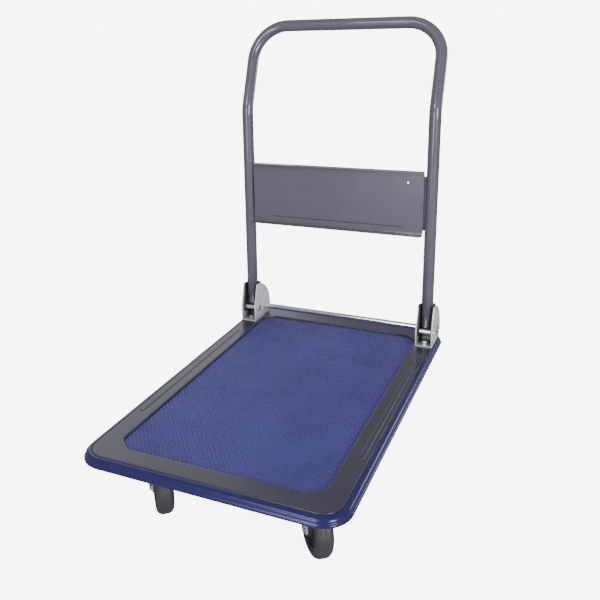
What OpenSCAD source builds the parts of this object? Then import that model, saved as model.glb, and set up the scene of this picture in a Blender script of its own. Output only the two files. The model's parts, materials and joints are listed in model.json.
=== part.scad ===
// Folding platform cart: pressed steel deck on four casters, with a tube
// handle that folds forward onto the deck.
// Millimetres. +Z up, +Y toward the handle end, +X to the right seen from
// the front. Origin on the floor under the middle of the deck.

/* [Deck] */
// Deck length, front edge to rear edge
deck_l = 750; // [740:1:760]
// Deck width, side to side
deck_w = 480; // [470:1:490]
// Height of the deck top above the floor
deck_h = 145; // [144:1:150]
// Corner radius of the deck seen from above
deck_corner_r = 49; // [46:1:54]
// Sheet thickness of the deck pan
pan_t = 2; // [1.6:0.2:2.4]
// Half width of the mat recess
mat_half_w = 188.8; // [180:0.2:189]
// Distance from the front edge to the mat recess
mat_front = 53; // [46:1:70]
// Distance from the rear edge to the mat recess
mat_rear = 59; // [52:1:70]
// Chamfer on the corners of the recess
mat_chamfer = 25; // [15:1:35]
// Thickness of the mat
mat_t = 1.5; // [1:0.1:2.5]

/* [Handle] */
// Outside diameter of the handle tube
tube_d = 25.4; // [24:0.2:25.4]
// Wall of the handle tube
tube_wall = 1.8; // [1.2:0.1:2.4]
// Side distance of a post from the middle
post_x = 212.5; // [211:0.5:213]
// Height of the rearward bend above the deck
bend_h = 510; // [480:1:540]
// Height of the handle top above the deck
handle_h = 700; // [680:1:720]
// Rearward lean of the upper handle, in degrees
lean = 20; // [15:1:22]
// Centreline radius of the two upper corners
corner_r = 76; // [64:1:84]
// Lower edge of the cross plate above the deck
plate_low = 248; // [220:1:270]
// Height of the cross plate
plate_tall = 140; // [120:1:150]

/* [Hinge] */
// Height of the pivot above the deck
pivot_h = 30; // [29:0.5:32]
// Sheet thickness of the hinge brackets
bracket_t = 2.5; // [2:0.1:2.5]
// Diameter of the latch rod
rod_d = 12; // [10:0.5:12]
// Travel of the latch rod away from the pivot
rod_travel = 8; // [5:1:8]

/* [Casters] */
// Wheel diameter
wheel_d = 100; // [96:1:100]
// Wheel width
wheel_w = 32; // [28:1:32]
// Side distance of a caster from the middle
caster_x = 146; // [140:1:150]
// Lengthwise distance of a caster from the middle
caster_y = 253; // [248:1:258]
// Offset of a swivel wheel from its swivel axis
trail = 24; // [18:1:30]
// Angle a front caster is turned to, in degrees
turned = 38.5; // [0:0.5:90]

/* [Hidden] */
$fn = 64;
e = 0.01;                         // small overshoot for cuts
gap = 0.3;                        // loose gap between parts

// deck section, measured inward from the edge and down from the top
rim_r = 10;                       // outer roundover of the rim
rim_drop = 1;                     // rim top below the border top
rim_in = 14;                      // inner face of the rim wall
bead_r = 3.2;                     // rolled bead along the lower edge
floor_drop = 5;                   // pan floor, top face, below the border top
rib_w = 9;                        // raised ribs on the side borders
rib_len = 400;
rib_rise = 1;
pan_under = deck_h - floor_drop - pan_t;

// crossmembers, pressed hat channels
cm_half_x = 190;
cm_half_y = 45;
cm_depth = 12;
cm_flange = 12;
cm_t = 2;
caster_top = pan_under - cm_depth;

// caster top plates
cp_x = 92;
cp_y = 64;
cp_t = 3;
bolt_dx = 75;
bolt_dy = 45;
m8 = 8;
m8_af = 13;
m8_head = 5.3;
m8_nut = 6.5;
m10 = 10;
axle_d = 8;
axle_af = 13;

// forks
leg_t = 2.5;
crown_z = 106;
hub_w = wheel_w + 1;
leg_x = hub_w / 2 + 0.4;
wheel_r = wheel_d / 2;

// handle
tube_r = tube_d / 2;
bend_r = 80;
post_y = 292;
post_foot = deck_h + 40;
bend_t = bend_r * tan(lean / 2);
slant = (handle_h - tube_r - bend_h) / cos(lean);
flange = 16;
web_y = 283;
sheet = 2;
web_half = 197;
web_step = 6;                     // end tabs stand this far behind the face

// hinge
pin_r = 4.5;                      // pivot pin
bush_r = 5.5;                     // bush round the pivot pin
shoe_t = 2.5;
shoe_half = tube_r + 0.05 + shoe_t;
cheek_in = 16;
cheek_out = cheek_in + bracket_t;
foot_y = 264;                     // front and back of the bracket foot
foot_back = 344;
foot_bolts = [284, 328];
pivot_y = 282.5;
pivot_z = deck_h + pivot_h;
rod_y = 322;
rod_z = deck_h + 22;
rod_tilt = atan2(rod_z - pivot_z, rod_y - pivot_y);
spring_r = 3.5;
spring_seat = 23;                 // rod axis to spring pin

// ---------- helpers ----------

// rounded rectangular slab standing on z = 0
module slab(l, w, r, h) {
    translate([-w / 2 + r, -l / 2, 0]) cube([w - 2 * r, l, h]);
    translate([-w / 2, -l / 2 + r, 0]) cube([w, l - 2 * r, h]);
    for (sx = [-1, 1], sy = [-1, 1])
        translate([sx * (w / 2 - r), sy * (l / 2 - r), 0]) cylinder(r = r, h = h);
}

// thing along X, centred
module rod_x(r, len) rotate([0, 90, 0]) cylinder(r = r, h = len, center = true);

// sheet shape given in (y, z), from x0, t thick
module side_sheet(pts, x0, t)
    translate([x0, 0, 0]) rotate([90, 0, 90]) linear_extrude(height = t) polygon(pts);

// hexagon prism standing on z = 0
module hex(af, h) cylinder(r = af / 2 / cos(30), h = h, $fn = 6);

// outline of the mat recess, grown inward by g
module recess_outline(g) {
    x = mat_half_w - g;
    y0 = -deck_l / 2 + mat_front + g;
    y1 = deck_l / 2 - mat_rear - g;
    c = mat_chamfer - 0.4 * g;
    polygon([[-x + c, y0], [x - c, y0], [x, y0 + c], [x, y1 - c],
             [x - c, y1], [-x + c, y1], [-x, y1 - c], [-x, y0 + c]]);
}

// rim section: r runs from the corner centre outward, z up from the deck top
module rim_section() {
    cr = deck_corner_r;
    low = rim_drop + rim_r;
    difference() {
        translate([cr - rim_r, -low]) circle(r = rim_r);
        translate([cr - rim_r, -low]) circle(r = rim_r - pan_t);
        translate([cr - 3 * rim_r, -low - 2 * rim_r]) square([2 * rim_r, 4 * rim_r]);
        translate([cr - 3 * rim_r, -low - 4 * rim_r]) square([6 * rim_r, 4 * rim_r]);
    }
    translate([cr - pan_t, -low - bead_r]) square([pan_t, bead_r]);
    translate([cr - bead_r, -low - bead_r]) circle(r = bead_r);
    translate([cr - rim_in, -rim_drop - pan_t]) square([rim_in - rim_r, pan_t]);
    translate([cr - rim_in, -floor_drop - pan_t])
        square([pan_t, floor_drop + pan_t - rim_drop]);
}

// ---------- deck ----------

module rim_straight(run) rotate([90, 0, 0]) linear_extrude(height = run) rim_section();

module deck_pan() color([0.07, 0.13, 0.62]) difference() {
    sx = deck_w / 2 - deck_corner_r;
    sy = deck_l / 2 - deck_corner_r;
    translate([0, 0, deck_h]) union() {
        for (q = [0:3]) {
            cx = (q == 0 || q == 3) ? sx : -sx;
            cy = (q < 2) ? sy : -sy;
            run = (q % 2 == 0) ? 2 * sy : 2 * sx;
            translate([cx, cy, 0]) rotate([0, 0, 90 * q]) {
                rotate_extrude(angle = 90) rim_section();
                rim_straight(run);
            }
        }
        translate([0, 0, -floor_drop - pan_t])
            slab(deck_l - 2 * rim_in + 4, deck_w - 2 * rim_in + 4,
                 deck_corner_r - rim_in + 2, pan_t);
    }
    bracket_holes(0) cylinder(r = m8 / 2 + gap, h = deck_h);
}

// places for the two bolts that hold each bracket
module bracket_holes(z)
    for (s = [-1, 1], y = foot_bolts) translate([s * post_x, y, z]) children();

module deck_border() color([0.2, 0.2, 0.22]) difference() {
    r = deck_corner_r - rim_in - gap;
    union() {
        translate([0, 0, deck_h - floor_drop])
            slab(deck_l - 2 * rim_in - 2 * gap, deck_w - 2 * rim_in - 2 * gap, r, floor_drop);
        for (s = [-1, 1]) translate([s * 213, 0, deck_h - e]) {
            translate([-rib_w / 2, -rib_len / 2, 0]) cube([rib_w, rib_len, rib_rise + e]);
            for (t = [-1, 1]) translate([0, t * rib_len / 2, 0])
                cylinder(r = rib_w / 2, h = rib_rise + e);
        }
    }
    translate([0, 0, deck_h - 2 * floor_drop])
        linear_extrude(height = 3 * floor_drop) recess_outline(0);
    bracket_holes(0) cylinder(r = m8 / 2 + gap, h = 2 * deck_h);
}

module deck_mat() color([0.1, 0.12, 0.45])
    translate([0, 0, deck_h - floor_drop]) linear_extrude(height = mat_t) recess_outline(gap);

module crossmember(s) color([0.07, 0.13, 0.62]) difference() {
    y = cm_half_y;
    z0 = caster_top;
    z1 = pan_under;
    f = y + cm_flange;
    translate([0, s * caster_y, 0]) side_sheet([[-f, z1], [-f, z1 - cm_t], [-y, z1 - cm_t], [-y, z0],
        [y, z0], [y, z1 - cm_t], [f, z1 - cm_t], [f, z1], [y - cm_t, z1], [y - cm_t, z0 + cm_t],
        [-y + cm_t, z0 + cm_t], [-y + cm_t, z1]], -cm_half_x, 2 * cm_half_x);
    for (t = [-1, 1]) caster_bolt_places(t, s, z0 - e) cylinder(r = m8 / 2 + gap, h = cm_t + 2 * e);
}
module crossmember_front() crossmember(-1);
module crossmember_rear() crossmember(1);

// ---------- hinge ----------

// from the rod's rest place, along its travel by d
module along_rod(d)
    translate([0, rod_y + d * cos(rod_tilt), rod_z + d * sin(rod_tilt)]) children();

module bracket(s) color([0.82, 0.83, 0.86]) {
    z = deck_h;
    quad_r = 70;
    quad_z = z + 20;
    quad_y = foot_back + 7.5 - quad_r;
    outline = [[foot_y, z], [foot_back, z], [foot_back, z + 30], [quad_y + 5, quad_z + 66],
               [quad_y - 4, quad_z + 66], [foot_y, z + 41]];
    translate([s * post_x, 0, 0]) difference() {
        union() {
            for (x0 = [-cheek_out, cheek_in]) {
                side_sheet(outline, x0, bracket_t);
                intersection() {
                    translate([x0, quad_y, quad_z]) rotate([0, 90, 0])
                        cylinder(r = quad_r, h = bracket_t, $fn = 128);
                    translate([x0 - 1, quad_y - 4, z + 12])
                        cube([bracket_t + 2, 2 * quad_r, 2 * quad_r]);
                }
            }
            translate([-cheek_out, foot_y, z]) cube([2 * cheek_out, foot_back - foot_y, bracket_t]);
        }
        translate([0, pivot_y, pivot_z]) rod_x(pin_r + 0.02, 60);
        along_rod(spring_seat) rod_x(2.52, 60);
        for (d = [0, rod_travel]) along_rod(d) rod_x(rod_d / 2 + gap, 60);
        along_rod(0) rotate([rod_tilt, 0, 0])
            translate([-30, 0, -rod_d / 2 - 0.2]) cube([60, rod_travel, rod_d + 0.4]);
        for (y = foot_bolts) translate([0, y, z - e]) cylinder(r = m8 / 2 + gap, h = 10);
    }
}
module hinge_bracket_left() bracket(-1);
module hinge_bracket_right() bracket(1);

module bracket_bolts() color([0.75, 0.76, 0.8]) bracket_holes(0) {
    translate([0, 0, deck_h + bracket_t]) hex(m8_af, m8_head);
    translate([0, 0, pan_under - 10]) cylinder(r = m8 / 2, h = floor_drop + pan_t + bracket_t + 10 + e);
}

module bracket_nuts() color([0.75, 0.76, 0.8])
    bracket_holes(pan_under - m8_nut) difference() {
        hex(m8_af, m8_nut);
        translate([0, 0, -e]) cylinder(r = m8 / 2 + 0.02, h = m8_nut + 2 * e);
    }

// riveted pivot pin with a flat head at each end
module pivot_pins() color([0.75, 0.76, 0.8]) for (s = [-1, 1])
    translate([s * post_x, pivot_y, pivot_z]) {
        rod_x(pin_r, 2 * cheek_out + 1);
        for (t = [-1, 1]) translate([t * (cheek_out + 1.5), 0, 0]) rod_x(7.5, 3);
    }

module spring_pins() color([0.75, 0.76, 0.8]) for (s = [-1, 1])
    translate([s * post_x, 0, 0]) along_rod(spring_seat) rod_x(2.5, 2 * cheek_out + 2);

// springs that push the latch rod back, drawn as plain sleeves
module latch_springs() color([0.6, 0.6, 0.62]) for (s = [-1, 1]) {
    d0 = rod_d / 2 + 0.3;
    len = spring_seat - 2.8 - d0;
    translate([s * post_x, 0, 0]) along_rod(d0) rotate([rod_tilt - 90, 0, 0]) difference() {
        cylinder(r = spring_r, h = len);
        translate([0, 0, -1]) cylinder(r = spring_r - 1, h = len + 2);
    }
}

// ---------- casters ----------

module caster_bolt_places(sx, sy, z)
    for (i = [-1, 1], j = [-1, 1])
        translate([sx * caster_x + i * bolt_dx / 2, sy * caster_y + j * bolt_dy / 2, z]) children();

module top_plate() difference() {
    translate([-cp_x / 2, -cp_y / 2, caster_top - cp_t]) slab_at_corner(cp_x, cp_y, 6, cp_t);
    for (i = [-1, 1], j = [-1, 1]) translate([i * bolt_dx / 2, j * bolt_dy / 2, caster_top - 2 * cp_t])
        cylinder(r = m8 / 2 + gap, h = 3 * cp_t);
}
module slab_at_corner(x, y, r, h) translate([x / 2, y / 2, 0]) slab(y, x, r, h);

module swivel_plate(s) color([0.82, 0.83, 0.86]) translate([s * caster_x, -caster_y, 0]) difference() {
    union() {
        top_plate();
        translate([0, 0, crown_z + 6]) cylinder(r = 26, h = caster_top - crown_z - 6 - cp_t + e);
    }
    translate([0, 0, crown_z]) cylinder(r = 24, h = caster_top - crown_z - cp_t);
    translate([0, 0, crown_z]) cylinder(r = m10 / 2 + 0.02, h = 50);
}
module swivel_plate_left() swivel_plate(-1);
module swivel_plate_right() swivel_plate(1);

// headed pins that hold each swivel fork to its plate
module kingpins() color([0.75, 0.76, 0.8]) for (s = [-1, 1])
    translate([s * caster_x, -caster_y, 0]) {
        translate([0, 0, crown_z - 4]) cylinder(r = m10 / 2, h = caster_top - crown_z + 4);
        translate([0, 0, crown_z - 3.3]) cylinder(r = 9, h = 3);
    }

module front_caster_bolts() caster_bolts(-1);
module front_caster_nuts() caster_nuts(-1);
module rear_caster_bolts() caster_bolts(1);
module rear_caster_nuts() caster_nuts(1);

module caster_bolts(sy) color([0.75, 0.76, 0.8]) for (sx = [-1, 1])
    caster_bolt_places(sx, sy, caster_top - cp_t - m8_nut - 2) {
        cylinder(r = m8 / 2, h = cp_t + m8_nut + 2 + cm_t + e);
        translate([0, 0, cp_t + m8_nut + 2 + cm_t]) hex(m8_af, m8_head);
    }

module caster_nuts(sy) color([0.75, 0.76, 0.8]) for (sx = [-1, 1])
    caster_bolt_places(sx, sy, caster_top - cp_t - m8_nut) difference() {
        hex(m8_af, m8_nut);
        translate([0, 0, -e]) cylinder(r = m8 / 2 + 0.02, h = m8_nut + 2 * e);
    }

// one fork leg, outer faces away from the wheel, axle at (dy, wheel_r)
module fork_leg(t, dy, top, half_top) {
    x0 = t < 0 ? -leg_x - leg_t : leg_x;
    r = 11;
    difference() {
        union() {
            side_sheet([[-half_top, top], [half_top, top], [half_top, top - 12],
                        [dy + r, wheel_r], [dy - r, wheel_r], [-half_top, top - 12]], x0, leg_t);
            translate([x0 + leg_t / 2, dy, wheel_r]) rod_x(r, leg_t);
        }
        translate([x0, dy, wheel_r]) rod_x(axle_d / 2 + 0.02, 20);
    }
}

// a swivel fork in its own frame: swivel axis on Z, wheel toward -Y
module swivel_fork() difference() {
    half = 24;
    union() {
        for (t = [-1, 1]) fork_leg(t, -trail, crown_z + leg_t, half);
        translate([-leg_x - leg_t, -half, crown_z]) cube([2 * (leg_x + leg_t), 2 * half, leg_t]);
        translate([0, 0, crown_z]) cylinder(r = 21, h = caster_top - crown_z - cp_t - 3);
    }
    translate([0, 0, crown_z - 20]) cylinder(r = m10 / 2 + 0.06, h = 60);
}

module at_front(s) translate([s * caster_x, -caster_y, 0]) rotate([0, 0, turned]) children();
module at_front_wheel(s) at_front(s) translate([0, -trail, wheel_r]) children();
module at_rear_wheel(s) translate([s * caster_x, caster_y, wheel_r]) children();

module front_fork_left() color([0.82, 0.83, 0.86]) at_front(-1) swivel_fork();
module front_fork_right() color([0.82, 0.83, 0.86]) at_front(1) swivel_fork();

module rear_fork(s) color([0.82, 0.83, 0.86]) translate([s * caster_x, caster_y, 0]) {
    top_plate();
    for (t = [-1, 1]) fork_leg(t, 0, caster_top - cp_t + e, 30);
}
module rear_fork_left() rear_fork(-1);
module rear_fork_right() rear_fork(1);

// axle: shank on X with a hexagon head on the -X side, nut on the other
axle_in = leg_x + leg_t;
module axle() {
    translate([4, 0, 0]) rod_x(axle_d / 2, 2 * axle_in + 8);
    translate([-axle_in - 4.5, 0, 0]) rotate([0, 90, 0]) hex(axle_af, 4.5);
}
module axle_nut() translate([axle_in, 0, 0]) rotate([0, 90, 0]) difference() {
    hex(axle_af, m8_nut);
    translate([0, 0, -e]) cylinder(r = axle_d / 2 + 0.02, h = m8_nut + 2 * e);
}

module front_axle_left() color([0.75, 0.76, 0.8]) at_front_wheel(-1) axle();
module front_axle_right() color([0.75, 0.76, 0.8]) at_front_wheel(1) axle();
module front_axle_nut_left() color([0.75, 0.76, 0.8]) at_front_wheel(-1) axle_nut();
module front_axle_nut_right() color([0.75, 0.76, 0.8]) at_front_wheel(1) axle_nut();
module rear_axles() color([0.75, 0.76, 0.8]) for (s = [-1, 1]) at_rear_wheel(s) axle();
module rear_axle_nuts() color([0.75, 0.76, 0.8]) for (s = [-1, 1]) at_rear_wheel(s) axle_nut();

// wheel core: hub, disc and rim, turning on the axle
rim_or = wheel_r - 14;
module wheel_core() rotate([0, 90, 0]) rotate_extrude($fn = 96) {
    br = axle_d / 2 + 0.05;
    polygon([[br, -hub_w / 2], [14, -hub_w / 2], [14, -5], [rim_or - 4, -5],
             [rim_or - 4, -wheel_w / 2 + 3], [rim_or, -wheel_w / 2 + 3],
             [rim_or, wheel_w / 2 - 3], [rim_or - 4, wheel_w / 2 - 3], [rim_or - 4, 5],
             [14, 5], [14, hub_w / 2], [br, hub_w / 2]]);
}

// tyre: round-shouldered tread moulded on the core
module tyre() rotate([0, 90, 0]) rotate_extrude($fn = 96) {
    sr = 12;
    w = wheel_w / 2;
    difference() {
        union() {
            translate([rim_or, -w]) square([14 - sr, 2 * w]);
            translate([rim_or, -w + sr]) square([14, 2 * (w - sr)]);
            for (t = [-1, 1]) translate([wheel_r - sr, t * (w - sr)]) circle(r = sr);
        }
        translate([0, -w]) square([rim_or, 2 * w]);
    }
}

module wheel_core_front_left() color([0.25, 0.25, 0.27]) at_front_wheel(-1) wheel_core();
module wheel_core_front_right() color([0.25, 0.25, 0.27]) at_front_wheel(1) wheel_core();
module wheel_core_rear_left() color([0.25, 0.25, 0.27]) at_rear_wheel(-1) wheel_core();
module wheel_core_rear_right() color([0.25, 0.25, 0.27]) at_rear_wheel(1) wheel_core();
module tyre_front_left() color([0.1, 0.1, 0.11]) at_front_wheel(-1) tyre();
module tyre_front_right() color([0.1, 0.1, 0.11]) at_front_wheel(1) tyre();
module tyre_rear_left() color([0.1, 0.1, 0.11]) at_rear_wheel(-1) tyre();
module tyre_rear_right() color([0.1, 0.1, 0.11]) at_rear_wheel(1) tyre();

// ---------- handle ----------

// posts, rearward bends, upper posts, corners and top bar as one solid of
// radius r; over lengthens the two feet. Straights run a little into the
// bends, which are a hair thinner, so every joint is a clean step
module handle_run(r, over) {
    $fn = 40;
    lap = 1;
    bend_z = deck_h + bend_h;
    z0 = post_foot - over;
    z1 = bend_z - bend_t;
    bar = 2 * (post_x - corner_r);
    for (s = [-1, 1]) {
        translate([s * post_x, post_y, z0]) cylinder(r = r, h = z1 - z0 + lap);
        translate([s * post_x, post_y + bend_r, z1]) rotate([90, 0, -90]) bend(bend_r, r, lean);
    }
    translate([0, post_y, bend_z]) rotate([-lean, 0, 0]) {
        for (s = [-1, 1]) {
            translate([s * post_x, 0, bend_t - lap])
                cylinder(r = r, h = slant - corner_r - bend_t + 2 * lap);
            translate([s * (post_x - corner_r), 0, slant - corner_r])
                rotate([90, 0, 0]) rotate([0, 0, s > 0 ? 0 : 90]) bend(corner_r, r, 90);
        }
        translate([0, 0, slant]) rod_x(r, bar + 2 * lap);
    }
}
module bend(radius, r, turn)
    rotate_extrude(angle = turn) translate([radius, 0]) circle(r = r - 0.15);

module handle_tube() color([0.33, 0.35, 0.42]) difference() {
    handle_run(tube_r, 0);
    handle_run(tube_r - tube_wall, 1);
}

module cross_plate() color([0.33, 0.35, 0.42]) {
    z0 = deck_h + plate_low;
    end_in = post_x - tube_r - 0.05;
    y = web_y;
    tab_y = web_y + web_step;
    difference() {
        union() {
            translate([-web_half, y, z0]) cube([2 * web_half, sheet, plate_tall]);
            translate([0, 0, z0 + 10]) linear_extrude(height = plate_tall - 22)
                polygon([[-web_half, y], [web_half, y], [web_half, tab_y], [end_in, tab_y],
                         [end_in, tab_y + sheet], [web_half - sheet, tab_y + sheet],
                         [web_half - sheet, y + sheet], [-web_half + sheet, y + sheet],
                         [-web_half + sheet, tab_y + sheet], [-end_in, tab_y + sheet],
                         [-end_in, tab_y], [-web_half, tab_y]]);
            for (z = [z0, z0 + plate_tall - sheet])
                translate([-web_half, y - flange, z]) cube([2 * web_half, flange + sheet, sheet]);
            translate([-157, y + sheet - 0.5, z0 + 14]) cube([314, 1.3, 5]);
        }
        translate([-156, y - 1, z0 + 15]) cube([312, 1.8, 3]);
        translate([163, y, z0 + plate_tall - 26])
            rotate([90, 0, 0]) cylinder(r = 1.8, h = 20, center = true);
    }
}

// pressed shoe on the foot of each post: two sides with an eye for the
// bush and a heel that stands on the bracket, joined by a wall behind the tube
module shoe(s) color([0.13, 0.13, 0.15]) translate([s * post_x, 0, 0]) difference() {
    z = deck_h;
    back = post_y + 15;
    side = [[post_y - 13, z + 90], [post_y - 14, z + 62], [pivot_y - 11, z + 40],
            [pivot_y - 11.6, pivot_z], [pivot_y, pivot_z - 11.6], [pivot_y + 12, z + 16],
            [pivot_y + 13.5, z + 2.9], [pivot_y + 19.5, z + 2.9], [back, z + 12], [back, z + 90]];
    union() {
        for (x0 = [-shoe_half, shoe_half - shoe_t]) {
            side_sheet(side, x0, shoe_t);
            translate([x0 + shoe_t / 2, pivot_y, pivot_z]) rod_x(12, shoe_t);
        }
        side_sheet([[pivot_y + 17.3, z + 2.9], [pivot_y + 19.5, z + 2.9], [back, z + 12],
                    [back, z + 90], [back - 2, z + 90], [back - 2, z + 12.6]],
                   -shoe_half, 2 * shoe_half);
    }
    translate([0, pivot_y, pivot_z]) rod_x(bush_r + 0.02, 60);
}
module leg_shoe_left() shoe(-1);
module leg_shoe_right() shoe(1);

// bushes fixed across the shoes, turning on the pivot pins
module pivot_bushes() color([0.8, 0.81, 0.85]) for (s = [-1, 1])
    translate([s * post_x, pivot_y, pivot_z]) difference() {
        rod_x(bush_r, 2 * cheek_in - 0.4);
        rod_x(pin_r + 0.05, 60);
    }

// ---------- latch ----------

module latch_rod() color([0.9, 0.9, 0.92])
    translate([0, rod_y, rod_z]) rod_x(rod_d / 2, 2 * (post_x + cheek_out) + 6);

module latch_clips() color([0.7, 0.7, 0.72]) for (s = [-1, 1])
    translate([s * (post_x + cheek_out + 1.2), rod_y, rod_z]) difference() {
        rod_x(9, 1.5);
        rod_x(rod_d / 2 + 0.02, 10);
    }

deck_pan();
deck_border();
deck_mat();
crossmember_front();
crossmember_rear();
hinge_bracket_left();
hinge_bracket_right();
bracket_bolts();
bracket_nuts();
pivot_pins();
spring_pins();
latch_springs();
swivel_plate_left();
swivel_plate_right();
kingpins();
front_caster_bolts();
front_caster_nuts();
rear_fork_left();
rear_fork_right();
rear_caster_bolts();
rear_caster_nuts();
rear_axles();
rear_axle_nuts();
handle_tube();
cross_plate();
leg_shoe_left();
leg_shoe_right();
pivot_bushes();
latch_rod();
latch_clips();
front_fork_left();
front_fork_right();
front_axle_left();
front_axle_right();
front_axle_nut_left();
front_axle_nut_right();
wheel_core_front_left();
wheel_core_front_right();
wheel_core_rear_left();
wheel_core_rear_right();
tyre_front_left();
tyre_front_right();
tyre_rear_left();
tyre_rear_right();
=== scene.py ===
import json
import math
import bpy
import bmesh
from mathutils import Matrix, Vector


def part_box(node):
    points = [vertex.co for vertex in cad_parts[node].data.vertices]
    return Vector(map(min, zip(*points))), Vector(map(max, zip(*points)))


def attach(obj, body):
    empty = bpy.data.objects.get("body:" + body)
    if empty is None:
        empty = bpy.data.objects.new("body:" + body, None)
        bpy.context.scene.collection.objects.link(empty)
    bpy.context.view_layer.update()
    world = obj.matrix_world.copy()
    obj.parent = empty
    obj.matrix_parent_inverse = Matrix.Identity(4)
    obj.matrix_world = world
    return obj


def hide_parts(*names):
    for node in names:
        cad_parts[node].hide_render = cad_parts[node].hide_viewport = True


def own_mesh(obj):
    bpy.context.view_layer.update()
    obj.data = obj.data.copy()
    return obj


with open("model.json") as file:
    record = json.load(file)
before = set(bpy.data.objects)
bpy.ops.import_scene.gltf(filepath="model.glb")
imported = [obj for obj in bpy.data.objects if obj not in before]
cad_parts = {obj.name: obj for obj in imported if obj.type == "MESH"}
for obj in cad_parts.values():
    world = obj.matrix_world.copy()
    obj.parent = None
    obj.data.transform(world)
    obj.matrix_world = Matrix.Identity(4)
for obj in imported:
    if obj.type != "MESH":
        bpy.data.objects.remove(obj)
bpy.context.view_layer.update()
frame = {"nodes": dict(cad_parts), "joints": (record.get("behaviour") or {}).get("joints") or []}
NODES = frame["nodes"]
MM = 0.001


# ---------------------------------------------------------------- places
def lo(node):
    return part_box(node)[0]


def hi(node):
    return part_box(node)[1]


RIB_RISE = 1.0 * MM
TOP = hi("deck_border").z - RIB_RISE        # plane of the border, its ribs stand above
HALF_W = (hi("deck_pan").x - lo("deck_pan").x) / 2
HALF_L = (hi("deck_pan").y - lo("deck_pan").y) / 2
MAT_LO, MAT_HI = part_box("deck_mat")
POST_X = (lo("leg_shoe_right").x + hi("leg_shoe_right").x) / 2
TUBE_R = hi("handle_tube").x - POST_X
POST_Y = lo("handle_tube").y + TUBE_R
JOINT = {j["name"]: j for j in frame["joints"]}


# ------------------------------------------------------------- materials
def principled(name):
    m = bpy.data.materials.new(name)
    m.use_nodes = True
    nt = m.node_tree
    return m, nt, nt.nodes["Principled BSDF"]


def node(nt, kind, **values):
    n = nt.nodes.new(kind)
    for k, v in values.items():
        if k in n.inputs:
            n.inputs[k].default_value = v
        else:
            setattr(n, k, v)
    return n


def noise(nt, scale, detail, rough=0.55):
    """Noise in the object's own metres, so its grain has a real size."""
    tc = node(nt, "ShaderNodeTexCoord")
    n = node(nt, "ShaderNodeTexNoise", Scale=scale, Detail=detail, Roughness=rough)
    nt.links.new(tc.outputs["Object"], n.inputs["Vector"])
    return n.outputs["Fac"]


def ramp(nt, fac, stops):
    """Colour ramp, stops being (position, colour) from low to high."""
    r = node(nt, "ShaderNodeValToRGB")
    el = r.color_ramp.elements
    el[0].position, el[0].color = stops[0][0], (*stops[0][1], 1)
    el[1].position, el[1].color = stops[-1][0], (*stops[-1][1], 1)
    for pos, col in stops[1:-1]:
        e = el.new(pos)
        e.color = (*col, 1)
    nt.links.new(fac, r.inputs["Fac"])
    return r.outputs["Color"]


def spread(nt, fac, a, b):
    """The 0 to 1 of fac mapped to the range from a to b."""
    r = node(nt, "ShaderNodeMapRange")
    r.inputs["To Min"].default_value = a
    r.inputs["To Max"].default_value = b
    nt.links.new(fac, r.inputs["Value"])
    return r.outputs["Result"]


def bump(nt, bsdf, heights):
    """heights is a list of (socket, strength, depth in metres), chained."""
    last = None
    for fac, strength, depth in heights:
        b = node(nt, "ShaderNodeBump", Strength=strength, Distance=depth)
        nt.links.new(fac, b.inputs["Height"])
        if last:
            nt.links.new(last, b.inputs["Normal"])
        last = b.outputs["Normal"]
    nt.links.new(last, bsdf.inputs["Normal"])


def shade(c, k):
    return tuple(min(1.0, x * k) for x in c)


def painted_corner_shade(nt, colour, reach):
    """Painted shade: darkens the hollows, within reach metres of a wall, by ambient occlusion."""
    near = node(nt, "ShaderNodeAmbientOcclusion", Distance=reach)
    near.samples = 8
    painted_shade = ramp(nt, near.outputs["AO"], [(0.25, (0.16, 0.17, 0.20)), (0.85, (1.0, 1.0, 1.0))])
    mix = node(nt, "ShaderNodeMix")
    mix.data_type = "RGBA"
    mix.blend_type = "MULTIPLY"
    factor, colour_a, colour_b, mixed = 0, 6, 7, 2        # the node's RGBA sockets
    mix.inputs[factor].default_value = 1.0
    nt.links.new(colour, mix.inputs[colour_a])
    nt.links.new(painted_shade, mix.inputs[colour_b])
    return mix.outputs[mixed]


def make(name, base, rough, metal=0.0, tint=None, coat=0.0, coat_rough=0.05, vary=0.12,
         grain=900.0, grain_depth=0.00005, cloud=14.0, peel=None, spec=None, rough_spread=0.06,
         shade_reach=0.0):
    """One finish. cloud, grain and peel[0] are noise scales, in cycles a metre.

    vary is how far the colour drifts either way, grain_depth and peel[1] are depths in metres,
    and shade_reach is how far the painted shade in the corners reaches from a wall, in metres.
    """
    m, nt, b = principled(name)
    b.inputs["Metallic"].default_value = metal
    b.inputs["Coat Weight"].default_value = coat
    b.inputs["Coat Roughness"].default_value = coat_rough
    if spec is not None:
        b.inputs["Specular IOR Level"].default_value = spec
    if tint:
        b.inputs["Specular Tint"].default_value = (*tint, 1)
    big = noise(nt, cloud, 5.0)
    colour = ramp(nt, big, [(0.25, shade(base, 1 - vary)), (0.5, base),
                            (0.78, shade(base, 1 + vary))])
    # painted shade: the colour is darkened where walls stand near
    if shade_reach:
        colour = painted_corner_shade(nt, colour, shade_reach)
    nt.links.new(colour, b.inputs["Base Color"])
    mid = noise(nt, cloud * 9, 6.0, 0.7)
    patchy = spread(nt, mid, rough - rough_spread, rough + rough_spread)
    nt.links.new(patchy, b.inputs["Roughness"])
    stack = [(noise(nt, grain, 3.0), 0.5, grain_depth)]
    if peel:
        scale, depth = peel
        stack.append((noise(nt, scale, 1.0, 0.4), 0.6, depth))
    bump(nt, b, stack)
    return m


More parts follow.
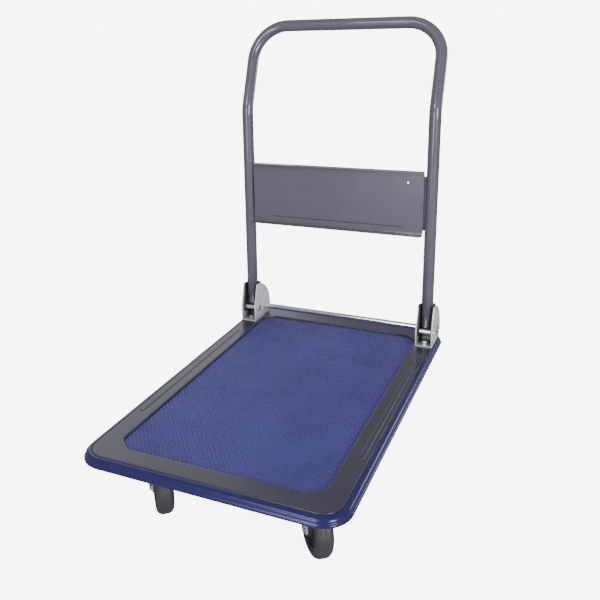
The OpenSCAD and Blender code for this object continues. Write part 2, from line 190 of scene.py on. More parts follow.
BLUE = make("blue_enamel", (0.020, 0.015, 0.101), 0.21, spec=0.65, tint=(0.60, 0.62, 1.0),
            vary=0.10, cloud=9, peel=(260, 0.00010), grain=1500, grain_depth=0.00002,
            rough_spread=0.04)
BORDER = make("grey_border_enamel", (0.041, 0.041, 0.067), 0.29, spec=0.55,
              vary=0.16, cloud=16, peel=(380, 0.00004), grain=1400, grain_depth=0.00003)
MAT = make("blue_mat_vinyl", (0.063, 0.058, 0.262), 0.48, vary=0.18, cloud=11, grain=1600,
           grain_depth=0.00006, spec=0.45)
GREY = make("grey_enamel", (0.112, 0.107, 0.146), 0.25, coat=0.8, coat_rough=0.06, vary=0.08,
            cloud=8, peel=(300, 0.00008), grain=1500, grain_depth=0.00002)
SHOE = make("black_enamel", (0.030, 0.030, 0.038), 0.40, coat=0.2, coat_rough=0.2, vary=0.2,
            cloud=30, peel=(400, 0.00008))
# the zinc gets painted shade in its hollows, within 30 mm of a wall
ZINC = make("zinc_plate", (0.97, 0.98, 1.0), 0.33, metal=0.38, vary=0.24, cloud=170,
            grain=1800, grain_depth=0.00004, rough_spread=0.14, shade_reach=0.030)
BRIGHT = make("bright_zinc", (0.95, 0.96, 1.0), 0.20, metal=0.85, vary=0.08, cloud=90,
              grain=1800, grain_depth=0.00003, rough_spread=0.06)
STEEL = make("spring_steel", (0.45, 0.45, 0.47), 0.34, metal=1.0, vary=0.12, cloud=60)
CHROME = make("chrome_rod", (0.86, 0.87, 0.90), 0.10, metal=1.0, vary=0.03, cloud=30,
              grain_depth=0.000008, rough_spread=0.03)
RUBBER = make("grey_rubber", (0.050, 0.048, 0.057), 0.50, vary=0.25, cloud=45, grain=1300,
              grain_depth=0.00012, spec=0.45, rough_spread=0.10)
CORE = make("wheel_core_plastic", (0.040, 0.040, 0.045), 0.42, vary=0.15, cloud=50, grain=1500,
            grain_depth=0.00006)


# ----------------------------------------------------------- mesh helpers
def bridge(faces, ring, after):
    """Adds the faces between two closed rings of as many vertices."""
    for k in range(len(ring)):
        k2 = (k + 1) % len(ring)
        faces.append((ring[k], ring[k2], after[k2], after[k]))


def prism_faces(n):
    """Faces of a prism whose vertices are one outline of n points, then the other."""
    faces = [list(range(n)), [n + k for k in reversed(range(n))]]
    faces += [(k, (k + 1) % n, n + (k + 1) % n, n + k) for k in range(n)]
    return faces


def facing_out(me):
    bm = bmesh.new()
    bm.from_mesh(me)
    bmesh.ops.recalc_face_normals(bm, faces=bm.faces)
    bm.to_mesh(me)
    bm.free()


def shade_all(me, smooth):
    me.polygons.foreach_set("use_smooth", [smooth] * len(me.polygons))


def placed(name, data):
    """A new object of the mesh, light or camera, in the scene."""
    ob = bpy.data.objects.new(name, data)
    bpy.context.scene.collection.objects.link(ob)
    return ob


def add_mesh(name, verts, faces, mat, body, smooth=True, replaces=()):
    """A visible piece that rides on a body."""
    me = bpy.data.meshes.new(name)
    me.from_pydata([tuple(v) for v in verts], [], faces)
    me.validate()
    facing_out(me)
    shade_all(me, smooth)
    me.materials.append(mat)
    ob = placed(name, me)
    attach(ob, body)
    if replaces:
        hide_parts(*replaces)
    return ob


def sharp_from(ob, degrees):
    ob.data.set_sharp_from_angle(angle=math.radians(degrees))


def bevel(ob, width, segments, angle=35.0):
    b = ob.modifiers.new("bevel", "BEVEL")
    b.width = width
    b.segments = segments
    b.limit_method = "ANGLE"
    b.angle_limit = math.radians(angle)
    b.use_clamp_overlap = True
    b.harden_normals = False
    w = ob.modifiers.new("weighted", "WEIGHTED_NORMAL")
    w.keep_sharp = True


def dress(name, mat, width, segments):
    """Material, welded seams and eased edges for a CAD node that stays."""
    ob = NODES[name]
    ob.data.materials.clear()
    ob.data.materials.append(mat)
    if "custom_normal" in ob.data.attributes:
        ob.data.attributes.remove(ob.data.attributes["custom_normal"])
    shade_all(ob.data, True)
    merge = ob.modifiers.new("weld", "WELD")
    merge.merge_threshold = 2e-6
    flat = ob.modifiers.new("planar", "DECIMATE")
    flat.decimate_type = "DISSOLVE"
    flat.angle_limit = math.radians(0.6)
    bevel(ob, width, segments)


def rounded_path(half_w, half_l, r, seg):
    """(centre, outward normal, reach) samples round a rounded rectangle."""
    out = []
    for q, (sx, sy) in enumerate(((1, 1), (-1, 1), (-1, -1), (1, -1))):
        c = Vector((sx * (half_w - r), sy * (half_l - r), 0))
        for k in range(seg + 1):
            a = math.radians(90 * q + 90 * k / seg)
            out.append((c, Vector((math.cos(a), math.sin(a), 0)), r))
    return out


def smooth_profile(points):
    """Open polyline with its corners cut, ends kept."""
    new = [points[0]]
    for p, q in zip(points, points[1:]):
        new.append((0.75 * p[0] + 0.25 * q[0], 0.75 * p[1] + 0.25 * q[1]))
        new.append((0.25 * p[0] + 0.75 * q[0], 0.25 * p[1] + 0.75 * q[1]))
    new.append(points[-1])
    return new


def swept_tray(path, profile, z):
    """Closed tray: profile, (inward, height) in metres, swept round the path."""
    verts, faces = [], []
    n, m = len(path), len(profile)
    for c, nrm, r in path:
        for u, v in profile:
            p = c + nrm * (r - u)
            verts.append((p.x, p.y, z + v))
    for i in range(n):
        j = (i + 1) % n
        for k in range(m - 1):
            faces.append((i * m + k, j * m + k, j * m + k + 1, i * m + k + 1))
    faces.append([i * m for i in range(n)])
    faces.append([i * m + m - 1 for i in reversed(range(n))])
    return verts, faces


def tube_along(points, radius, sides):
    """Vertices and faces of a closed round tube along points, with no twist."""
    verts, faces = [], []
    t0 = (points[1] - points[0]).normalized()
    side = t0.cross(Vector((0, 0, 1)))
    if side.length < 1e-4:
        side = t0.cross(Vector((0, 1, 0)))
    side.normalize()
    prev = t0
    for i, p in enumerate(points):
        if i == 0:
            t = t0
        elif i == len(points) - 1:
            t = (points[i] - points[i - 1]).normalized()
        else:
            ahead, behind = points[i + 1] - p, p - points[i - 1]
            t = (ahead.normalized() + behind.normalized()).normalized()
        turn = prev.rotation_difference(t)
        side = (turn @ side).normalized()
        up = t.cross(side).normalized()
        prev = t
        for k in range(sides):
            a = 2 * math.pi * k / sides
            verts.append(p + side * (radius * math.cos(a)) + up * (radius * math.sin(a)))
    for i in range(len(points) - 1):
        for k in range(sides):
            k2 = (k + 1) % sides
            a, b = i * sides, (i + 1) * sides
            faces.append((a + k, a + k2, b + k2, b + k))
    faces.append(list(reversed(range(sides))))
    faces.append([(len(points) - 1) * sides + k for k in range(sides)])
    return verts, faces


def lathe(profile, centre, axis, seg):
    """profile is (radius, along) in metres, turned about axis through centre."""
    axis = Vector(axis).normalized()
    e1 = axis.cross(Vector((0, 0, 1))).normalized()
    e2 = axis.cross(e1).normalized()
    verts, faces = [], []
    m = len(profile)
    for i in range(seg):
        a = 2 * math.pi * i / seg
        d = e1 * math.cos(a) + e2 * math.sin(a)
        for r, h in profile:
            verts.append(Vector(centre) + d * r + axis * h)
    for i in range(seg):
        j = (i + 1) % seg
        for k in range(m - 1):
            faces.append((i * m + k, j * m + k, j * m + k + 1, i * m + k + 1))
        faces.append((i * m + m - 1, j * m + m - 1, j * m, i * m))
    return verts, faces


# --------------------------------------------------------------- deck pan
# pressed sheet, (inward, height) in mm: floor, inner wall, rounded rim, shallow neck, rolled bead
RIM = [(14.0, -5.0), (14.0, -3.0), (13.9, -1.6), (13.0, -1.05), (11.5, -1.0), (9.6, -1.1),
       (7.6, -1.7), (5.6, -2.9), (4.0, -4.6), (3.0, -6.6), (2.6, -8.3), (2.4, -9.4), (1.7, -10.3),
       (0.7, -11.3), (0.05, -12.6), (0.0, -14.0), (0.4, -15.4), (1.4, -16.6), (2.8, -17.2),
       (4.2, -17.0), (5.3, -16.2), (5.7, -15.0), (5.3, -13.9), (4.5, -12.8), (4.5, -9.6),
       (5.0, -7.0), (6.4, -4.9), (8.4, -3.5), (10.4, -3.1), (11.9, -3.4), (12.0, -5.0),
       (12.0, -7.0)]
CORNER_R = 49 * MM
rim = smooth_profile([(u * MM, v * MM) for u, v in RIM])
v, f = swept_tray(rounded_path(HALF_W, HALF_L, CORNER_R, 24), rim, TOP)
pan = add_mesh("deck_pan_pressing", v, f, BLUE, "deck", replaces=("deck_pan",))
sharp_from(pan, 50)


# ----------------------------------------------------------- grey border
BORDER_INSET = 14.3 * MM                    # from the pan's edge to the border's
RECESS_R = 16 * MM
RECESS_CHAMFER = 25 * MM
RECESS_GAP = 0.3 * MM                       # round the solid mat of the CAD


def recess_loop(grow):
    """Corners of the chamfered recess, counterclockwise."""
    x = MAT_HI.x + RECESS_GAP + grow
    y0 = MAT_LO.y - RECESS_GAP - grow
    y1 = MAT_HI.y + RECESS_GAP + grow
    c = RECESS_CHAMFER + 0.4 * grow
    return [Vector(p) for p in ((x, y0 + c, 0), (x, y1 - c, 0), (x - c, y1, 0),
                                (-x + c, y1, 0), (-x, y1 - c, 0), (-x, y0 + c, 0),
                                (-x + c, y0, 0), (x - c, y0, 0))]


def corner_rounded(points, r):
    """The closed polygon with each corner turned into a small arc."""
    out = []
    n, seg = len(points), 5
    for i, p in enumerate(points):
        a = (points[i - 1] - p).normalized()
        b = (points[(i + 1) % n] - p).normalized()
        half = a.angle(b) / 2
        d = r / math.tan(half)
        c = p + (a + b).normalized() * (r / math.sin(half))
        s = p + a * d - c
        e = p + b * d - c
        for k in range(seg + 1):
            v = s.lerp(e, k / seg).normalized() * r
            out.append(c + v)
    return out


def ring_of(verts, points, z, x=0.0):
    """Adds the points, moved by x, to verts at height z, and returns their indices."""
    first = len(verts)
    verts += [(x + p.x, p.y, z) for p in points]
    return list(range(first, len(verts)))


def border_frame():
    """Eased outer and inner edges, with the flat top filled in between them."""
    verts, faces = [], []
    path = rounded_path(HALF_W - BORDER_INSET, HALF_L - BORDER_INSET, CORNER_R - BORDER_INSET, 20)
    outer_edge = ((0.0, -5.0), (0.0, -1.9), (0.2, -1.1), (0.65, -0.45), (1.3, -0.1), (2.2, 0.0),
                  (4.0, 0.0))                          # (inward, height) in mm
    rings = [ring_of(verts, [c + nrm * (r - u * MM) for c, nrm, r in path], TOP + v * MM)
             for u, v in outer_edge]
    for a, b in zip(rings, rings[1:]):
        bridge(faces, a, b)
    inner_edge = ((3.6, 0.0), (2.0, 0.0), (1.1, -0.15), (0.5, -0.5), (0.12, -1.1), (0.0, -1.9),
                  (0.0, -5.0))                         # (outward, height) in mm
    rings = [ring_of(verts, corner_rounded(recess_loop(u * MM), RECESS_R + u * MM), TOP + v * MM)
             for u, v in inner_edge]
    for a, b in zip(rings, rings[1:]):
        bridge(faces, a, b)
    ob = add_mesh("border_frame", verts, faces, BORDER, "deck",
                  replaces=("deck_border",))
    bm = bmesh.new()
    bm.from_mesh(ob.data)
    top = [e for e in bm.edges if e.is_boundary and min(v.co.z for v in e.verts) > TOP - 1e-6]
    bmesh.ops.triangle_fill(bm, use_beauty=True, use_dissolve=False, edges=top)
    bmesh.ops.recalc_face_normals(bm, faces=bm.faces[:])
    for f in bm.faces:
        f.smooth = True
    bm.to_mesh(ob.data)
    bm.free()
    sharp_from(ob, 60)


border_frame()


def rib(name, x, half_w, half_l):
    """Long raised pad with eased edges that run out into the border."""
    steps = [(-1.2, -0.25), (-0.5, 0.02), (-0.1, 0.22), (0.15, 0.62), (0.5, 0.92), (1.1, 1.0),
             (half_w / MM - 1.0, 1.0)]                 # (inward in mm, share of the rise)
    verts, faces, rings = [], [], []
    for u, h in steps:
        w = half_w - u * MM
        r = max(0.4 * MM, 2.2 * MM - u * MM)
        outline = rounded_path(w, half_l - u * MM, min(r, w * 0.98), 6)
        points = [c + nrm * reach for c, nrm, reach in outline]
        rings.append(ring_of(verts, points, TOP + h * RIB_RISE, x))
    for a, b in zip(rings, rings[1:]):
        bridge(faces, a, b)
    faces.append(rings[-1])
    add_mesh(name, verts, faces, BORDER, "deck")


for side, s in (("left", -1), ("right", 1)):
    rib(f"border_rib_{side}", s * 213 * MM, 4.5 * MM, 204.5 * MM)


# -------------------------------------------------------------------- mat
def diamond_mat():
    """Moulded diamonds between two sets of crossing grooves, cut to the recess."""
    pitch, groove, rise = 7.0 * MM, 1.7 * MM, 1.0 * MM
    shoulder, inward = 0.35, 0.30           # shares of the rise, and of the way to the middle
    gap = 1.3 * MM                          # from the recess to the mat's edge
    base = MAT_HI.z - rise
    a = math.radians(52)
    d1 = Vector((math.cos(a), math.sin(a), 0))
    d2 = Vector((-math.cos(a), math.sin(a), 0))
    step = pitch / math.sin(2 * a)
    n = int(max(HALF_L, HALF_W) * 2 / step) + 4
    cy = (MAT_LO.y + MAT_HI.y) / 2
    bm = bmesh.new()
    hx, hy = MAT_HI.x + 2 * step, (MAT_HI.y - MAT_LO.y) / 2 + 2 * step
    g = groove / 2 / math.sin(2 * a)
    grid = {}

    def at(p, z):
        key = (round(p.x * 1e7), round(p.y * 1e7), round(z * 1e7))
        if key not in grid:
            grid[key] = bm.verts.new((p.x, p.y, z))
        return grid[key]

    for i in range(-n, n + 1):
        for j in range(-n, n + 1):
            o = d1 * (i * step) + d2 * (j * step) + Vector((0, cy, 0))
            if abs(o.x) > hx or abs(o.y - cy) > hy:
                continue
            corner = [o, o + d1 * step, o + d1 * step + d2 * step, o + d2 * step]
            inset = [corner[0] + d1 * g + d2 * g, corner[1] - d1 * g + d2 * g,
                     corner[2] - d1 * g - d2 * g, corner[3] + d1 * g - d2 * g]
            mid = (corner[0] + corner[2]) / 2
            crown = [c.lerp(mid, inward) for c in inset]
            low = [at(p, base) for p in corner]
            up = [bm.verts.new((p.x, p.y, base + shoulder * rise)) for p in inset]
            top = [bm.verts.new((p.x, p.y, base + rise)) for p in crown]
            for k in range(4):
                k2 = (k + 1) % 4
                bm.faces.new((low[k], low[k2], up[k2], up[k]))
                bm.faces.new((up[k], up[k2], top[k2], top[k]))
            bm.faces.new(top)
    loop = corner_rounded(recess_loop(-gap), RECESS_R)
    centre = Vector((0, cy, 0))
    for i, p in enumerate(loop):
        q = loop[(i + 1) % len(loop)]
        nrm = (q - p).cross(Vector((0, 0, 1))).normalized()
        if (p - centre).dot(nrm) < 0:
            nrm = -nrm
        geom = bm.verts[:] + bm.edges[:] + bm.faces[:]
        bmesh.ops.bisect_plane(bm, geom=geom, plane_co=p, plane_no=nrm, clear_outer=True)
    bmesh.ops.remove_doubles(bm, verts=bm.verts[:], dist=1e-6)
    rim_edges = [e for e in bm.edges if len(e.link_faces) == 1]
    ext = bmesh.ops.extrude_edge_only(bm, edges=rim_edges)
    for v in ext["geom"]:
        if isinstance(v, bmesh.types.BMVert):
            v.co.z = MAT_LO.z
    bmesh.ops.recalc_face_normals(bm, faces=bm.faces[:])
    me = bpy.data.meshes.new("deck_mat_moulded")
    bm.to_mesh(me)
    bm.free()
    shade_all(me, False)
    me.materials.append(MAT)
    ob = placed("deck_mat_moulded", me)
    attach(ob, "deck")
    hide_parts("deck_mat")


diamond_mat()


# ----------------------------------------------------------------- handle
LEAN = math.radians(20)
BEND_R, CORN_R = 80 * MM, 76 * MM           # at the lean of the posts, and at the top corners
TOP_BAR = Vector((0, hi("handle_tube").y - TUBE_R, hi("handle_tube").z - TUBE_R))
BEND_Z = TOP_BAR.z - (TOP_BAR.y - POST_Y) / math.tan(LEAN)


def arc(centre, start, end, steps):
    """Points from start to end on the circle round centre, ends left out."""
    a, b = start - centre, end - centre
    turn = a.angle(b)
    out = []
    for k in range(1, steps):
        t = turn * k / steps
        out.append(centre + (a * math.sin(turn - t) + b * math.sin(t)) / math.sin(turn))
    return out


def handle_points():
    """The middle line of the tube, from the left foot round to the right one."""
    up = Vector((0, math.sin(LEAN), math.cos(LEAN)))
    t = BEND_R * math.tan(LEAN / 2)
    slant = (TOP_BAR.z - BEND_Z) / math.cos(LEAN)
    sides = []
    for s in (-1, 1):
        vertex = Vector((s * POST_X, POST_Y, BEND_Z))
        low = vertex - Vector((0, 0, t))
        high = vertex + up * t
        pts = [Vector((s * POST_X, POST_Y, lo("handle_tube").z))]
        pts += [pts[0].lerp(low, k / 6) for k in range(1, 6)] + [low]
        pts += arc(low + Vector((0, BEND_R, 0)), low, high, 10) + [high]
        corner_low = vertex + up * (slant - CORN_R)
        corner_high = vertex + up * slant - Vector((s * CORN_R, 0, 0))
        pts += [high.lerp(corner_low, k / 4) for k in range(1, 4)] + [corner_low]
        pts += arc(corner_low - Vector((s * CORN_R, 0, 0)), corner_low, corner_high, 20)
        pts.append(corner_high)
        sides.append(pts)
    bar = [sides[0][-1].lerp(sides[1][-1], k / 8) for k in range(1, 8)]
    return sides[0] + bar + list(reversed(sides[1]))


v, f = tube_along(handle_points(), TUBE_R, 40)
add_mesh("handle_tube_bent", v, f, GREY, "handle", replaces=("handle_tube",))


# ------------------------------------------------------------ cross plate
PLATE_T = 2 * MM
PLATE_HALF = 197 * MM
TAB_STEP = 6 * MM                           # the end tabs stand this far behind the face
PLATE_LOW, PLATE_HIGH = lo("cross_plate").z, hi("cross_plate").z
FACE_Y = hi("cross_plate").y - TAB_STEP - PLATE_T
BEAD_Z = PLATE_LOW + 16.5 * MM


def bead_cutter(y, z):
    """Solid of the pressed groove: sloping upper wall, steep lower one, run-out ends.

    shape is its section, (up, out of the face) in mm.
    """
    shape = [(1.2, 1.0), (1.1, -0.05), (-0.8, -1.65), (-1.1, -1.65), (-1.2, 1.0)]
    verts, faces = [], []
    cols, reach = 40, 157 * MM
    for i in range(cols + 1):
        x = -reach + 2 * reach * i / cols
        fade = max(0.04, min(1.0, (reach - abs(x)) / (9 * MM)))
        for w, d in shape:
            depth = d if d > 0 else d * fade
            verts.append((x, y - depth * MM, z + w * MM * (0.45 + 0.55 * fade)))
    n = len(shape)
    for i in range(cols):
        for j in range(n):
            k = (j + 1) % n
            faces.append((i * n + j, i * n + k, (i + 1) * n + k, (i + 1) * n + j))
    faces += [list(range(n)), [cols * n + j for j in reversed(range(n))]]
    me = bpy.data.meshes.new("bead_cut")
    me.from_pydata(verts, [], faces)
    facing_out(me)
    return placed("bead_cut", me)


def hole_cutter(x, y, z, r):
    """Solid of a round hole along y."""
    me = bpy.data.meshes.new("hole_cut")
    bm = bmesh.new()
    bmesh.ops.create_cone(bm, cap_ends=True, segments=32, radius1=r, radius2=r, depth=30 * MM)
    bm.transform(Matrix.Translation((x, y, z)) @ Matrix.Rotation(math.radians(90), 4, "X"))
    bm.to_mesh(me)
    bm.free()
    return placed("hole_cut", me)


def cut_from(ob, name, cutter):
    mod = ob.modifiers.new(name, "BOOLEAN")
    mod.operation = "DIFFERENCE"
    mod.object = cutter
    mod.solver = "EXACT"


def plate_section():
    """(y, z) outline of the bent sheet: the face and two forward flanges."""
    z0, z1, t, y_face = PLATE_LOW, PLATE_HIGH, PLATE_T, FACE_Y
    y_front = lo("cross_plate").y
    r = 3.0 * MM
    section = [(y_front, z1), (y_face + t - r, z1)]
    section += [(y_face + t - r + r * math.sin(a), z1 - r + r * math.cos(a))
                for a in (math.radians(22.5 * k) for k in range(1, 5))]
    low_arc = [(y_face + t - r + r * math.cos(a), z0 + r - r * math.sin(a))
               for a in (math.radians(22.5 * k) for k in range(0, 4))]
    section += low_arc + [(y_face + t - r, z0), (y_front, z0), (y_front, z0 + t)]
    ri = r - t
    section += [(y_face + t - r, z0 + t)]
    section += [(y_face + t - r + ri * math.sin(a), z0 + t + ri - ri * math.cos(a))
                for a in (math.radians(45 * k) for k in range(1, 3))]
    section += [(y_face + t - r + ri * math.cos(a), z1 - t - ri + ri * math.sin(a))
                for a in (math.radians(45 * k) for k in range(0, 2))]
    section += [(y_face + t - r, z1 - t), (y_front, z1 - t)]
    return section


def cross_plate():
    """The bent sheet with its hanging hole and its pressed groove cut in."""
    section = plate_section()
    verts = [(x, y, z) for x in (-PLATE_HALF, PLATE_HALF) for y, z in section]
    ob = add_mesh("cross_plate_sheet", verts, prism_faces(len(section)), GREY, "handle",
                  replaces=("cross_plate",))
    hole = hole_cutter(163 * MM, FACE_Y + PLATE_T / 2, PLATE_HIGH - 26 * MM, 1.8 * MM)
    cut_from(ob, "hole", hole)
    groove = bead_cutter(FACE_Y, BEAD_Z)
    cut_from(ob, "bead", groove)
    dg = bpy.context.evaluated_depsgraph_get()
    done = bpy.data.meshes.new_from_object(ob.evaluated_get(dg))
    ob.modifiers.clear()
    ob.data = done
    bpy.data.objects.remove(hole)
    bpy.data.objects.remove(groove)
    shade_all(ob.data, True)
    sharp_from(ob, 40)
    bevel(ob, 0.5 * MM, 2, 50)


def plate_tabs():
    """End tabs, bent back and out to the posts."""
    half, step, t = PLATE_HALF, TAB_STEP, PLATE_T
    low, high = PLATE_LOW + 10 * MM, PLATE_HIGH - 12 * MM
    weld_x = POST_X - TUBE_R + 0.6 * MM
    front = [(half - 1.6 * MM, 0.0), (half - 0.5 * MM, 0.4 * MM), (half, 1.5 * MM),
             (half, step - 0.4 * MM), (half + 0.4 * MM, step), (weld_x, step)]
    back = [(weld_x, step + t), (half - 0.8 * MM, step + t),
            (half - 1.8 * MM, step + t - 0.6 * MM), (half - t, step + t - 1.6 * MM),
            (half - t, t - 0.4 * MM), (half - t - 0.6 * MM, 0.9 * MM)]
    outline = front + back
    proud = 0.02 * MM                       # keeps the tab off the sheet's own faces
    for side, s in (("left", -1), ("right", 1)):
        verts = [(s * x, FACE_Y + y + proud, z) for z in (low, high) for x, y in outline]
        ob = add_mesh(f"cross_plate_tab_{side}", verts, prism_faces(len(outline)), GREY, "handle")
        sharp_from(ob, 40)
        bevel(ob, 0.3 * MM, 2, 50)


def plate_ridge():
    """The groove stands out as a rounded ridge on the back of the sheet."""
    verts = []
    cols, reach = 48, 159 * MM
    shape = [(2.6, -0.1), (2.1, 0.3), (1.2, 0.68), (0.0, 0.8), (-1.2, 0.68), (-2.1, 0.3),
             (-2.6, -0.1)]                             # (up, out) in mm
    for i in range(cols + 1):
        x = -reach + 2 * reach * i / cols
        fade = min(1.0, (reach - abs(x)) / (7 * MM))
        for w, d in shape:
            out = d * MM * (fade if d > 0 else 1)
            verts.append((x, FACE_Y + PLATE_T + out, BEAD_Z + w * (0.5 + 0.5 * fade) * MM))
    n = len(shape)
    faces = [(i * n + j, i * n + j + 1, (i + 1) * n + j + 1, (i + 1) * n + j)
             for i in range(cols) for j in range(n - 1)]
    add_mesh("cross_plate_bead", verts, faces, GREY, "handle")


cross_plate()
plate_tabs()
plate_ridge()


def weld(name, p, q, radius, mat, seed):
    """A weld bead from p to q: a tube whose radius ripples along its length."""
    n = max(2, int((q - p).length / (0.9 * MM)))
    pts = [p.lerp(q, k / n) for k in range(n)] + [q]
    sides = 8
    v, f = tube_along(pts, radius, sides)
    for i, p in enumerate(pts):
        k = 0.82 + 0.18 * math.cos(i * 1.9) + 0.06 * math.sin(seed * 1.7 + i * 2.3)
        k *= min(1.0, 0.35 + min(i, n - i) * 0.3)
        for c in range(sides):
            v[i * sides + c] = p + (v[i * sides + c] - p) * k
    add_mesh(name, v, f, mat, "handle")


def handle_welds():
    """Beads between the tabs and the posts, and at both sides of each shoe's top."""
    y = hi("cross_plate").y - PLATE_T
    z = hi("leg_shoe_left").z + 0.2 * MM
    plate_bead, shoe_bead = 22 * MM, 9 * MM            # a length, and half a length
    for side, s in (("left", -1), ("right", 1)):
        x = s * (POST_X - TUBE_R - 0.2 * MM)
        for k, z0 in enumerate((PLATE_LOW + 12 * MM, PLATE_HIGH - 36 * MM)):
            weld(f"plate_weld_{side}_{k}", Vector((x, y, z0)), Vector((x, y, z0 + plate_bead)),
                 1.5 * MM, GREY, k + 2 * s)
        for k, t in enumerate((-1, 1)):
            x = s * POST_X + t * (TUBE_R + 0.4 * MM)
            weld(f"shoe_weld_{side}_{k}", Vector((x, POST_Y - shoe_bead, z)),
                 Vector((x, POST_Y + shoe_bead, z)), 1.4 * MM, SHOE, k + 5 * s)


handle_welds()


# ---------------------------------------------------- nodes kept from CAD
DRESSED = (
    (ZINC, 0.5 * MM, 3, ("hinge_bracket_left", "hinge_bracket_right")),
    (ZINC, 0.5 * MM, 2, ("swivel_plate_left", "swivel_plate_right", "front_fork_left",
                         "front_fork_right", "rear_fork_left", "rear_fork_right")),
    (BRIGHT, 0.5 * MM, 2, ("bracket_bolts", "bracket_nuts", "pivot_pins", "spring_pins",
                           "kingpins", "front_caster_bolts", "front_caster_nuts",
                           "rear_caster_bolts", "rear_caster_nuts", "rear_axles",
                           "rear_axle_nuts", "pivot_bushes", "front_axle_left",
                           "front_axle_right", "front_axle_nut_left", "front_axle_nut_right")),
    (BLUE, 0.8 * MM, 3, ("crossmember_front", "crossmember_rear")),
    (SHOE, 0.5 * MM, 3, ("leg_shoe_left", "leg_shoe_right")),
    (CHROME, 0.8 * MM, 3, ("latch_rod",)),
    (STEEL, 0.2 * MM, 2, ("latch_clips",)),
)
for finish, edge, edge_steps, names in DRESSED:
    for name in names:
        dress(name, finish, edge, edge_steps)


# ----------------------------------------------------------------- wheels
def tyre(tag, body, c, ax):
    """Rounded shoulders and a shallow line round the middle of the tread."""
    R, w = 50 * MM, 16 * MM
    core_r, sr = 36 * MM, 12 * MM           # the bore and the shoulders
    half = [(core_r - 0.5 * MM, w - 3.4 * MM), (core_r + 0.2 * MM, w - 1.6 * MM),
            (core_r + 1.0 * MM, w - 0.5 * MM), (core_r + 2.0 * MM, w - 0.08 * MM)]
    half += [(R - sr + sr * math.sin(math.radians(a)), w - sr + sr * math.cos(math.radians(a)))
             for a in range(8, 90, 8)]
    half += [(R, w - sr - 0.5 * MM), (R, 0.7 * MM), (R - 0.25 * MM, 0.35 * MM),
             (R - 0.25 * MM, 0.0)]
    prof = half + [(r, -h) for r, h in reversed(half[:-1])]
    prof += [(core_r - 0.4 * MM, 0.0)]
    v, f = lathe(prof, c, ax, 112)
    ob = add_mesh(f"tyre_{tag}_moulded", v, f, RUBBER, body, replaces=(f"tyre_{tag}",))
    sharp_from(ob, 50)


def wheel_core(tag, body, c, ax):
    """Hub, dished web and stepped outer ring, in one turning."""
    ring = [(4.05, 16.5), (7.0, 16.5), (8.4, 16.0), (12.4, 15.8), (13.4, 15.0), (14, 13.6),
            (14.2, 8), (15.5, 5.6), (17, 5), (29, 5), (30.6, 5.8), (31.4, 7.5), (31.8, 12.0),
            (32.4, 13.2), (34.8, 13.4), (35.8, 12.9), (36, 12)]        # (radius, along) in mm
    prof = [(r * MM, h * MM) for r, h in ring] + [(r * MM, -h * MM) for r, h in reversed(ring)]
    v, f = lathe(prof, c, ax, 96)
    ob = add_mesh(f"wheel_core_{tag}_moulded", v, f, CORE, body,
                  replaces=(f"wheel_core_{tag}",))
    sharp_from(ob, 50)


def wheel_ribs(tag, body, c, ax):
    """Tapered ribs on both sides of the web, from the hub to the outer ring."""
    e1 = ax.cross(Vector((0, 0, 1))).normalized()
    e2 = ax.cross(e1).normalized()
    verts, faces = [], []
    ribs = 6
    for k in range(ribs):
        a = math.pi * 2 * k / ribs
        d = e1 * math.cos(a) + e2 * math.sin(a)
        q = d.cross(ax)
        for s in (-1, 1):
            b = len(verts)
            for r, h0, h1 in ((13.6, 4.5, 11.5), (22, 4.5, 9.6), (31.8, 4.5, 11.0)):
                for hw in (-1.3, 1.3):
                    verts.append(c + d * (r * MM) + q * (hw * MM) + ax * (s * h0 * MM))
                    verts.append(c + d * (r * MM) + q * (hw * 0.75 * MM) + ax * (s * h1 * MM))
            for i in (0, 4):
                faces += [(b + i, b + i + 1, b + i + 5, b + i + 4),
                          (b + i + 2, b + i + 6, b + i + 7, b + i + 3),
                          (b + i + 1, b + i + 3, b + i + 7, b + i + 5)]
            faces += [(b, b + 2, b + 3, b + 1), (b + 8, b + 9, b + 11, b + 10),
                      (b, b + 4, b + 6, b + 2), (b + 4, b + 8, b + 10, b + 6)]
    ob = add_mesh(f"wheel_ribs_{tag}", verts, faces, CORE, body, smooth=False)
    bevel(ob, 0.35 * MM, 2, 40)


for tag in ("front_left", "front_right", "rear_left", "rear_right"):
    spin = JOINT[f"wheel_{tag}_spin"]
    centre, axle = Vector(spin["pos_m"]), Vector(spin["axis"]).normalized()
    for piece in (tyre, wheel_core, wheel_ribs):
        piece(tag, f"wheel_{tag}", centre, axle)


# ---------------------------------------------------------- latch springs
def springs():
    """Coils behind the latch rod, squashed between it and the spring pins."""
    ax = Vector(JOINT["latch_push"]["axis"]).normalized()
    rod = (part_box("latch_rod")[0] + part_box("latch_rod")[1]) / 2
    start, length = 6.4 * MM, 13.8 * MM     # from the rod's middle, and at rest
    turns, rad, wire = 6, 2.9 * MM, 0.5 * MM
    e1 = Vector((1, 0, 0))
    e2 = ax.cross(e1).normalized()
    for side, s in (("left", -1), ("right", 1)):
        o = Vector((s * POST_X, rod.y, rod.z)) + ax * (start + wire)
        pts = []
        n = turns * 20
        for k in range(n + 1):
            t = k / n
            h = t * (length - 2 * wire)
            a = 2 * math.pi * turns * t
            pts.append(o + ax * h + e1 * (rad * math.cos(a)) + e2 * (rad * math.sin(a)))
        v, f = tube_along(pts, wire, 8)
        ob = add_mesh(f"latch_spring_coil_{side}", v, f, STEEL, "deck",
                      replaces=("latch_springs",))
        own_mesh(ob)


springs()


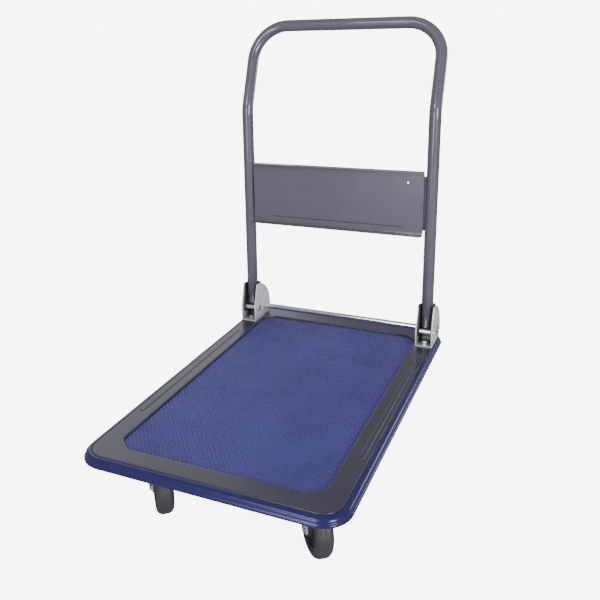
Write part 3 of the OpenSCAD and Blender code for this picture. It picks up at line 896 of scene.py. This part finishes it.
# ---------------------------------------------------------- stage, lights
def by_ray(nt, other, camera, output):
    """Sends one shader to the camera's rays, and the other to every other ray."""
    path = node(nt, "ShaderNodeLightPath")
    pick = node(nt, "ShaderNodeMixShader")
    nt.links.new(path.outputs["Is Camera Ray"], pick.inputs[0])
    nt.links.new(other, pick.inputs[1])
    nt.links.new(camera, pick.inputs[2])
    nt.links.new(pick.outputs["Shader"], nt.nodes[output].inputs["Surface"])


# the floor is lit up for the camera only, so that it reads as paper white
floor_mat, nt, b = principled("studio_floor")
b.inputs["Base Color"].default_value = (0.86, 0.86, 0.87, 1)
b.inputs["Roughness"].default_value = 0.9
b.inputs["Specular IOR Level"].default_value = 0.05
b.inputs["Emission Color"].default_value = (1, 1, 1, 1)
b.inputs["Emission Strength"].default_value = 7.0
dim = node(nt, "ShaderNodeBsdfDiffuse")
dim.inputs["Color"].default_value = (0.50, 0.50, 0.53, 1)
by_ray(nt, dim.outputs["BSDF"], b.outputs["BSDF"], "Material Output")

s = 30.0                                    # half the side of the floor
me = bpy.data.meshes.new("studio_floor")
me.from_pydata([(-s, -s, 0), (s, -s, 0), (s, s, 0), (-s, s, 0)], [], [(0, 1, 2, 3)])
me.materials.append(floor_mat)
ob = placed("studio_floor", me)

world = bpy.data.worlds.new("studio_world")
bpy.context.scene.world = world
world.use_nodes = True
nt = world.node_tree
bg = nt.nodes["Background"]
bg.inputs["Color"].default_value = (0.95, 0.96, 1.0, 1)
bg.inputs["Strength"].default_value = 0.46
seen = node(nt, "ShaderNodeBackground")
seen.inputs["Color"].default_value = (1, 1, 1, 1)
seen.inputs["Strength"].default_value = 8.0
by_ray(nt, bg.outputs["Background"], seen.outputs["Background"], "World Output")


def area(name, place, look, size, watts):
    """A soft box at place, turned towards look."""
    l = bpy.data.lights.new(name, "AREA")
    l.shape = "RECTANGLE"
    l.size, l.size_y = size
    l.energy = watts
    ob = placed(name, l)
    ob.location = place
    d = (Vector(look) - Vector(place)).normalized()
    ob.rotation_euler = d.to_track_quat("-Z", "Y").to_euler()


area("key", (-0.35, -2.1, 1.9), (0.1, 0.1, 0.1), (0.9, 0.5), 14)
area("front", (-0.3, -3.0, 0.7), (0, 0, 0.45), (0.7, 1.4), 26)
area("side", (2.5, -1.9, 1.0), (0, 0.1, 0.35), (0.9, 1.3), 62)
area("right_back", (1.9, 2.4, 0.9), (0, 0, 0.2), (0.9, 0.7), 10)
area("left_back", (-2.2, 2.4, 1.6), (0, 0, 0.2), (2.6, 1.8), 16)

# ----------------------------------------------------------------- camera
cam = bpy.data.cameras.new("camera")
cam.lens = 43.25
cam.sensor_width = 36
cam.shift_x = 0.061
cam.shift_y = -0.0972
eye = (0.5083, -1.2046, 0.8202)
yaw, pitch, roll = -0.4317, 0.2830, -0.0253
ahead = Vector((math.sin(yaw) * math.cos(pitch), math.cos(yaw) * math.cos(pitch),
                -math.sin(pitch)))
level = ahead.cross(Vector((0, 0, 1))).normalized()
upright = level.cross(ahead).normalized()
right = level * math.cos(roll) + upright * math.sin(roll)
up = -level * math.sin(roll) + upright * math.cos(roll)
rot = Matrix((right, up, -ahead)).transposed()
cam_ob = placed("camera", cam)
cam_ob.matrix_world = Matrix.Translation(eye) @ rot.to_4x4()
bpy.context.scene.camera = cam_ob
